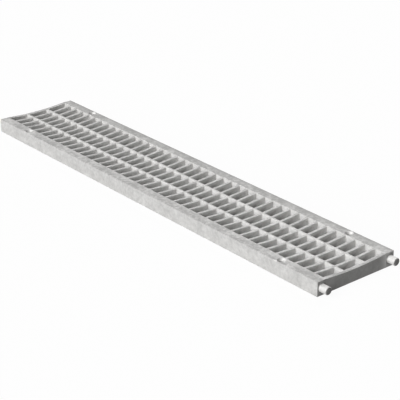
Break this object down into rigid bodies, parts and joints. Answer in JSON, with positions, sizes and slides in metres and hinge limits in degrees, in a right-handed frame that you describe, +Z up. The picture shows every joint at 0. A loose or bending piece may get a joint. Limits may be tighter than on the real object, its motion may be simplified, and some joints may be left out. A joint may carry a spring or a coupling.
{
  "type": "channel drain grate",
  "caption": "Long cast drain channel grate with a shallow dished top, rectangular slots in rows, countersunk bolt holes in its side rails, pegs at one end and sockets at the other.",
  "frame": {"origin": "on the flat underside, below the middle of the overall length and width, with the pegs counted in the length", "axes": "+X along the grate towards the end with the pegs, +Y across it towards the back rail, +Z up out of the walked-on face"},
  "size_m": [1.017, 0.187, 0.0285],
  "materials": {
    "galvanised_iron": "hot-dip galvanised cast iron, matt light grey with soft darker and lighter mottling, edges slightly brighter"
  },
  "bodies": {
    "root": {"grate": "galvanised_iron"}
  },
  "joints": []
}
